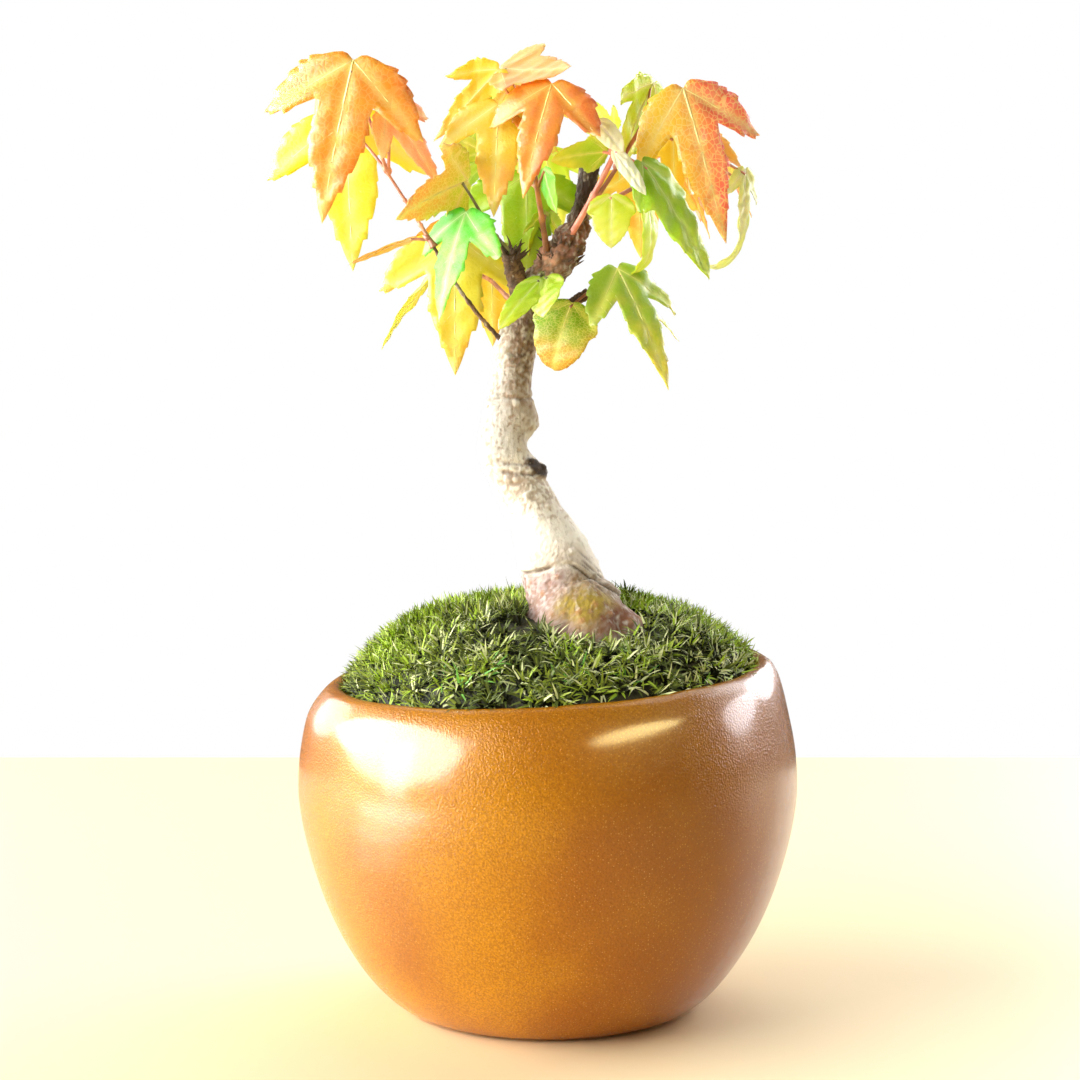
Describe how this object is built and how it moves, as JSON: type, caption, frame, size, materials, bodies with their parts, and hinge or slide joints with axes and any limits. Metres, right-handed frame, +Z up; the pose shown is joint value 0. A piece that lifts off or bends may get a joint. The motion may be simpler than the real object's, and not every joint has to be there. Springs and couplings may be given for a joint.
{
  "type": "trident maple bonsai",
  "caption": "Small potted maple bonsai: a pale curved trunk with a root flare, sprays of lobed autumn leaves, a moss mound and a round amber-glazed pot that stands on its flat foot.",
  "frame": {"origin": "the middle of the pot's flat underside, where it stands", "axes": "+Z is up; -Y is the tree's front, and +X is to the right of someone who faces that front"},
  "size_m": [0.0953, 0.09, 0.1734],
  "materials": {
    "glaze": "glossy amber glaze",
    "soil": "matt grains",
    "moss": "short soft blades",
    "bark": "rough pale bark",
    "twig": "rough dark bark",
    "leaf_orange": "soft sheen",
    "leaf_gold": "soft sheen",
    "leaf_green": "soft sheen"
  },
  "bodies": {
    "root": {"pot": "glaze", "soil": "soil", "moss": "moss", "trunk": "bark", "left_bough": "twig", "right_bough": "twig", "pruned_stub": "twig", "back_bough": "twig", "left_spray": "leaf_orange", "left_low_spray": "leaf_green", "centre_spray": "leaf_orange", "right_inner_spray": "leaf_green", "right_spray": "leaf_orange", "right_low_spray": "leaf_green", "front_spray": "leaf_green", "back_spray": "leaf_green", "back_left_spray": "leaf_gold", "back_right_spray": "leaf_gold"}
  },
  "joints": []
}
